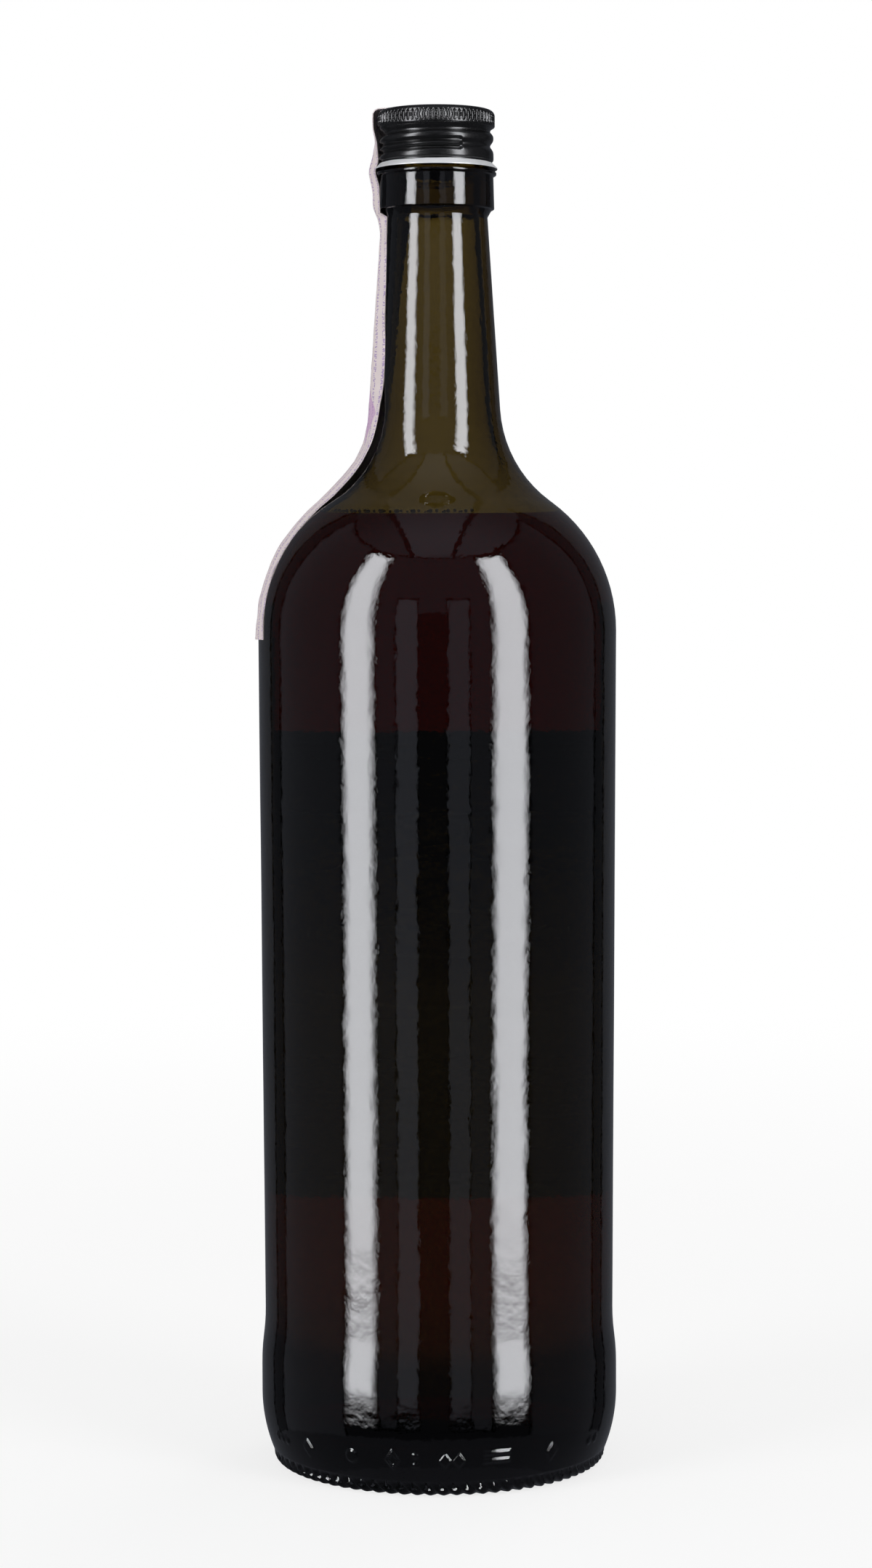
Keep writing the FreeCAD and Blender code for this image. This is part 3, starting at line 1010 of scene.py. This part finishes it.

# %% [markdown]
# ## The studio
# The bottle stands on a pale floor in front of white. The world is white to whatever is seen
# straight, through glass or in a reflection, and only a soft fill to what lights matt things. The
# floor is made a little lighter to the camera than it is, and keeps the bottle's shadow. Close to
# the bottle, what the glass shows of the floor is a painted shadow, a dim glow in place of shade.

# %% World and floor
scene = bpy.context.scene
scene.view_settings.view_transform = "Standard"
world = bpy.data.worlds.new("studio")
scene.world = world
world.use_nodes = True
tree = world.node_tree
tree.nodes.clear()
rays = tree.nodes.new("ShaderNodeLightPath")
seen = rays.outputs["Is Camera Ray"]
for kind in ("Is Glossy Ray", "Is Transmission Ray"):
    either = tree.nodes.new("ShaderNodeMath")
    either.operation = "MAXIMUM"
    tree.links.new(seen, either.inputs[0])
    tree.links.new(rays.outputs[kind], either.inputs[1])
    seen = either.outputs[0]
strength = tree.nodes.new("ShaderNodeMapRange")
strength.inputs[3].default_value = 0.5
strength.inputs[4].default_value = 1.0
tree.links.new(seen, strength.inputs[0])
background = tree.nodes.new("ShaderNodeBackground")
background.inputs["Color"].default_value = (1, 1, 1, 1)
world_out = tree.nodes.new("ShaderNodeOutputWorld")
tree.links.new(strength.outputs[0], background.inputs["Strength"])
tree.links.new(background.outputs[0], world_out.inputs["Surface"])

begin()
bpy.ops.mesh.primitive_plane_add(size=8)
floor = bpy.context.object
floor.name = "studio_floor"
floor.visible_glossy = False
pale = Finish("pale_floor")
rays = pale.add("LightPath")
matt = pale.add("BsdfDiffuse", {"Color": (0.86, 0.86, 0.86, 1)})
glow = pale.add("Emission", {"Color": (1, 1, 1, 1), "Strength": 1.0})
floor_place = pale.add("SeparateXYZ", {0: pale.place}).outputs
from_bottle = pale.math("SQRT", pale.math(
    "MULTIPLY_ADD", floor_place[0], floor_place[0], pale.math("MULTIPLY", floor_place[1], floor_place[1])
))
paler = pale.math("MULTIPLY_ADD", pale.step(from_bottle, 0.1, 0.9), 0.25, 0.75)
seen_through = pale.math("MULTIPLY", rays.outputs["Is Transmission Ray"], pale.step(from_bottle, 0.05, 0.15))
seen = pale.math("MAXIMUM", rays.outputs["Is Camera Ray"], seen_through)
open_floor = pale.add("MixShader", {
    0: pale.math("MULTIPLY", seen, paler), 1: matt.outputs[0], 2: glow.outputs[0],
})
# Close to the bottle the glass sees a painted shadow on the floor: a dim glow in place of the shade under
# the bottle.
unlit = pale.math("SUBTRACT", rays.outputs["Is Transmission Ray"], seen_through)
painted_shadow = pale.add("Emission", {"Color": (1, 1, 1, 1), "Strength": 0.03})
pale.surface(pale.add("MixShader", {
    0: unlit, 1: open_floor.outputs[0], 2: painted_shadow.outputs[0],
}).outputs[0])
pale.give(floor)

# %% [markdown]
# Dark glass shows the whole studio in its skin, so what it sees is built with care: black flags
# stand all round, and are open only behind the bottle, so that the white background shines
# through the glass. Reflections also see cards, which nothing else does, and one of them is a dim
# back wall that shuts the opening for them, because a white one would draw a bright rim.

# %% Black flags
def unseen(card):
    """A card that neither the camera nor soft light sees."""
    card.visible_camera = card.visible_diffuse = card.visible_transmission = False
    card.visible_shadow = card.visible_volume_scatter = False


cool_white, box_white = (0.88, 0.93, 1.08, 1), (0.95, 0.96, 1.0, 1)


def give_glow(piece, color=cool_white, strength=1.0, finish=None):
    """A card's finish: light of one colour, of a plain strength or one that nodes work out."""
    finish = finish or Finish(piece.name + "_light")
    finish.surface(finish.add("Emission", {"Color": color, "Strength": strength}).outputs[0])
    finish.give(piece)


flag_far, flag_low, flag_high, opening = 1.35, -1.6, 2.8, 42
begin()
bpy.ops.mesh.primitive_cylinder_add(
    vertices=120, radius=flag_far, depth=flag_high - flag_low, location=(0, 0, (flag_low + flag_high) / 2)
)
flags = bpy.context.object
flags.name = "black_flags"


def in_opening(middle):
    return middle.y > 0 and math.degrees(math.atan2(abs(middle.x), middle.y)) < opening


open_mesh(flags)
print("flags taken away behind the bottle:", pick_faces(flags, in_opening))
bpy.ops.mesh.delete(type="FACE")
close_mesh()
unseen(flags)
flags.visible_transmission = True
give_glow(flags, cool_white, 0.045, Finish("flag_cloth"))

# %% [markdown]
# Two tall soft boxes give the two long highlights. A soft box fades towards its edges, so the
# card's own map dims it there. Dimmer cards stand for the walls of the room, and for the narrow
# white gaps between the boxes and the camera.

# %% Cards round the bottle
def card(
    name, left, right, low, high, bright,
    color=cool_white, fade_side=0.12, fade_top=0.06, fade_low=0.06, far=1.25,
):
    """A tall card between two angles from the camera's side and two heights. A fade is the share
    of its width or height over which it dims to nothing."""
    begin()
    steps = max(int(abs(right - left) / 3), 2)
    bpy.ops.mesh.primitive_grid_add(x_subdivisions=steps, y_subdivisions=2, size=1, calc_uvs=True)
    piece = bpy.context.object
    piece.name = name
    for vertex in piece.data.vertices:
        at = math.radians(left + (right - left) * (vertex.co.x + 0.5))
        z = low + (high - low) * (vertex.co.y + 0.5)
        vertex.co = Vector((far * math.sin(at), -far * math.cos(at), z))
    unseen(piece)
    finish = Finish(name + "_light")
    uv = uv_of(finish)
    soft = finish.step(finish.math("PINGPONG", uv.outputs[0], 0.5), 0.0, fade_side)
    soft = finish.math("MULTIPLY", soft, finish.step(uv.outputs[1], 0.0, fade_low))
    soft = finish.math("MULTIPLY", soft, finish.step(uv.outputs[1], 1.0, 1.0 - fade_top))
    give_glow(piece, color, finish.math("MULTIPLY", soft, bright), finish)


card("left_soft_box", -64, -38, -0.31, 1.75, 12, box_white, 0.3, fade_low=0.07)
card("right_soft_box", 33, 60.5, -0.31, 1.75, 12, box_white, 0.26, fade_low=0.07)
card("left_wall_gap", -27, -12, -0.3, 0.73, 0.43)
card("right_wall_gap", 6, 21, -0.3, 0.73, 0.33)
card("dark_slot", -12, 6, -0.35, 0.49, 0.045, cool_white, 0.01, 0.01, 0.01, far=1.24)
card("front_wall", -41, 36, -0.35, 1.95, 0.15, cool_white, 0.01, 0.03, 0.03, far=1.3)
card("left_wall", -120, -62, -0.6, 1.95, 0.155, fade_side=0.06)
card("right_wall", 59, 120, -0.6, 1.95, 0.11, fade_side=0.06)
card("back_wall", 132, 228, -1.5, 2.7, 0.1, cool_white, 0.04, 0.01, 0.01)

# %% [markdown]
# The ceiling is three pale panels with dark joints between them, which the round shoulder draws
# together into a heart over the drink. The table shows as two dim discs, well below the bottle so
# that they lie only in the way of reflections that point steeply down.

# %% Ceiling and table as the gloss sees them
ceiling_z, ceiling_front, ceiling_back = 2, -1.45, 1.0


def ceiling(name, front, back, bright):
    """A level panel between two X at its front edge and two at its back, dimmer at the back."""
    begin()
    bpy.ops.mesh.primitive_grid_add(x_subdivisions=1, y_subdivisions=1, size=1, calc_uvs=True)
    piece = bpy.context.object
    piece.name = name
    for vertex in piece.data.vertices:
        across, along = vertex.co.x + 0.5, vertex.co.y + 0.5
        left = front[0] + (back[0] - front[0]) * along
        right = front[1] + (back[1] - front[1]) * along
        y = ceiling_front + (ceiling_back - ceiling_front) * along
        vertex.co = Vector((left + (right - left) * across, y, ceiling_z))
    unseen(piece)
    finish = Finish(name + "_light")
    along = uv_of(finish).outputs[1]
    dimmed = finish.math("MULTIPLY", finish.step(along, 0.85, 0.25), finish.step(along, 0.0, 0.12))
    give_glow(piece, cool_white, finish.math("MULTIPLY_ADD", dimmed, bright * 0.6, bright * 0.4), finish)


def level_disc(name, across, place, bright):
    """A dim level disc, given its radius and its middle."""
    begin()
    bpy.ops.mesh.primitive_circle_add(vertices=64, radius=across, fill_type="NGON", location=place)
    piece = bpy.context.object
    piece.name = name
    unseen(piece)
    give_glow(piece, strength=bright)


ceiling("ceiling_middle", (-0.46, 0.28), (-0.6, 0.5), 0.4)
ceiling("ceiling_left", (-1.3, -0.54), (-1.3, -0.7), 0.2)
ceiling("ceiling_right", (0.37, 1.3), (0.6, 1.3), 0.3)
level_disc("ceiling_lamp", 0.07, (0, 0.3, 1.98), 0.05)
level_disc("table", 1.2, (0, 0, -0.45), 0.1)
level_disc("near_table", 0.5, (0, 0, -0.44), 0.13)

# %% [markdown]
# The same two soft boxes light what isn't glossy, as area lamps that the reflections don't show
# a second time. A weaker lamp lights the back.

# %% Area lamps
def soft_box(name, degrees, watts):
    """An area lamp at an angle round from the camera's side, turned to the bottle."""
    at = math.radians(degrees)
    place = Vector((1.25 * math.sin(at), -1.25 * math.cos(at), 0.85))
    data = bpy.data.lights.new(name, "AREA")
    data.shape, data.size, data.size_y, data.energy = "RECTANGLE", 0.5, 1.7, watts
    lamp = bpy.data.objects.new(name, data)
    scene.collection.objects.link(lamp)
    lamp.location = place
    lamp.rotation_euler = (Vector((0, 0, 0.25)) - place).to_track_quat("-Z", "Y").to_euler()
    lamp.visible_glossy = lamp.visible_camera = lamp.visible_transmission = False


soft_box("left_lamp", -53, 9)
soft_box("right_lamp", 48, 9)
soft_box("back_lamp", 150, 4)

# %% [markdown]
# ## The camera
# It stands 84 cm away, a little above the bottle's middle, and looks down by 3.4 degrees, with
# a long lens. It leans by about a sixth of a degree.

# %% Camera
camera_data = bpy.data.cameras.new("camera")
camera_data.lens, camera_data.sensor_width = 81.24, 36
camera_data.clip_start = 0.01
camera = bpy.data.objects.new("camera", camera_data)
scene.collection.objects.link(camera)
camera.location = (-0.00026, -0.8434, 0.213)
camera.rotation_euler = (math.radians(90 - 3.443), math.radians(0.155), 0)
scene.camera = camera
